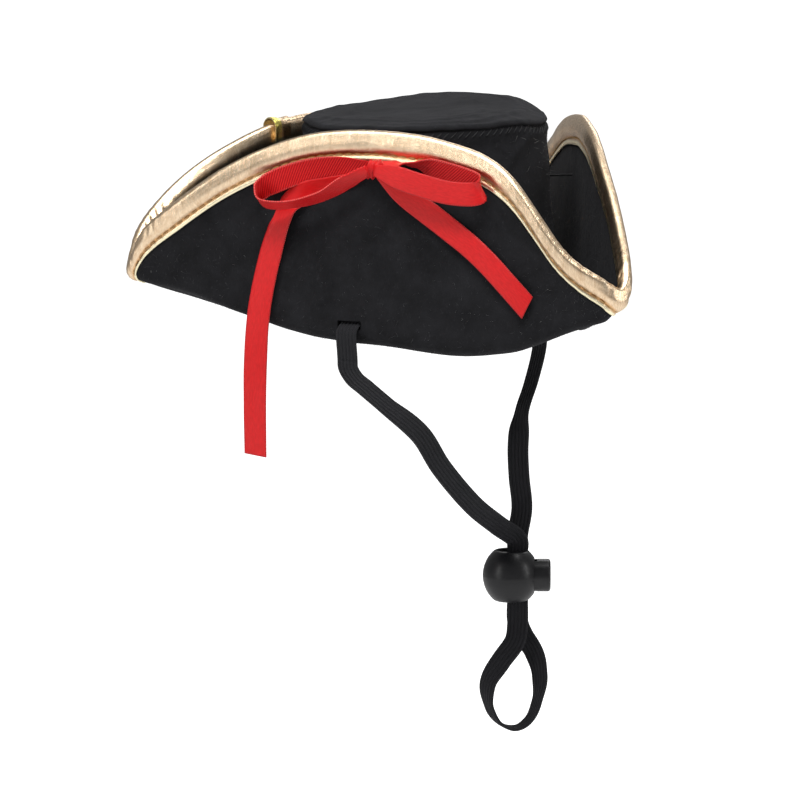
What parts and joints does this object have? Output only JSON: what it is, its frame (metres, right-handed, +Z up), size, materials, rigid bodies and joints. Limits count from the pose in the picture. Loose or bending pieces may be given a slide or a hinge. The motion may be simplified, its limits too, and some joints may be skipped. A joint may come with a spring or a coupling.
{
  "type": "pirate hat",
  "caption": "Small three-cornered felt pirate hat with a bound edge, a ribbon bow and a chin elastic that runs through a sprung cord lock.",
  "frame": {"origin": "on the crown's axis at the level of the brim's lowest fold, where the hat sits on the head", "axes": "+Z up the crown, -Y towards the hat's front corner, +X to the wearer's left"},
  "size_m": [0.1587, 0.1428, 0.1932],
  "materials": {
    "felt": "matt black craft felt, slightly fuzzy",
    "gold_lame": "champagne-gold metallic cloth binding with a satin shine",
    "gold_thread": "orange-brown sewing thread",
    "black_thread": "black sewing thread",
    "satin_ribbon": "red single-face satin ribbon with a ribbed back",
    "elastic": "black flat ribbed elastic",
    "lock_plastic": "black moulded plastic, semi-gloss",
    "spring_steel": "bright spring wire"
  },
  "bodies": {
    "hat": {"crown_side": "felt", "crown_tip": "felt", "brim": "felt", "brim_binding": "gold_lame", "binding_end_fold": "gold_lame", "binding_needle_thread": "gold_thread", "binding_bobbin_thread": "gold_thread", "crown_tip_seam": "black_thread", "crown_back_seam": "black_thread", "brim_seam": "black_thread", "flap_tack_right": "black_thread", "flap_tack_left": "black_thread", "flap_tack_back": "black_thread", "bow_tack": "black_thread", "elastic_right_bar_tack": "black_thread", "elastic_left_bar_tack": "black_thread", "bow_knot": "satin_ribbon", "bow_left_loop": "satin_ribbon", "bow_right_loop": "satin_ribbon", "bow_left_tail": "satin_ribbon", "bow_right_tail": "satin_ribbon", "elastic_right_end": "elastic", "elastic_left_end": "elastic"},
    "chin_strap": {"elastic_right_run": "elastic", "elastic_left_run": "elastic", "elastic_loop": "elastic"},
    "cord_lock": {"lock_body": "lock_plastic", "lock_spring": "spring_steel"},
    "lock_button": {"lock_plunger": "lock_plastic"}
  },
  "joints": [
    {"name": "strap_swing", "type": "hinge", "parent": "hat", "child": "chin_strap", "pos_m": [0.00215, -0.0073, 0.008], "axis": [0.9748, 0.2231, 0], "range_deg": [-50, 35], "deforming": ["elastic_right_end", "elastic_left_end"]},
    {"name": "lock_slide", "type": "slide", "parent": "chin_strap", "child": "cord_lock", "axis": [0, 0, 1], "range_m": [-0.008, 0.04], "deforming": ["elastic_right_run", "elastic_left_run", "elastic_loop"]},
    {"name": "plunger_press", "type": "slide", "parent": "cord_lock", "child": "lock_button", "axis": [-0.766, 0.6428, 0], "range_m": [0, 0.0024], "stiffness_N_per_m": 200, "springref_m": -0.003, "deforming": ["lock_spring"]}
  ]
}
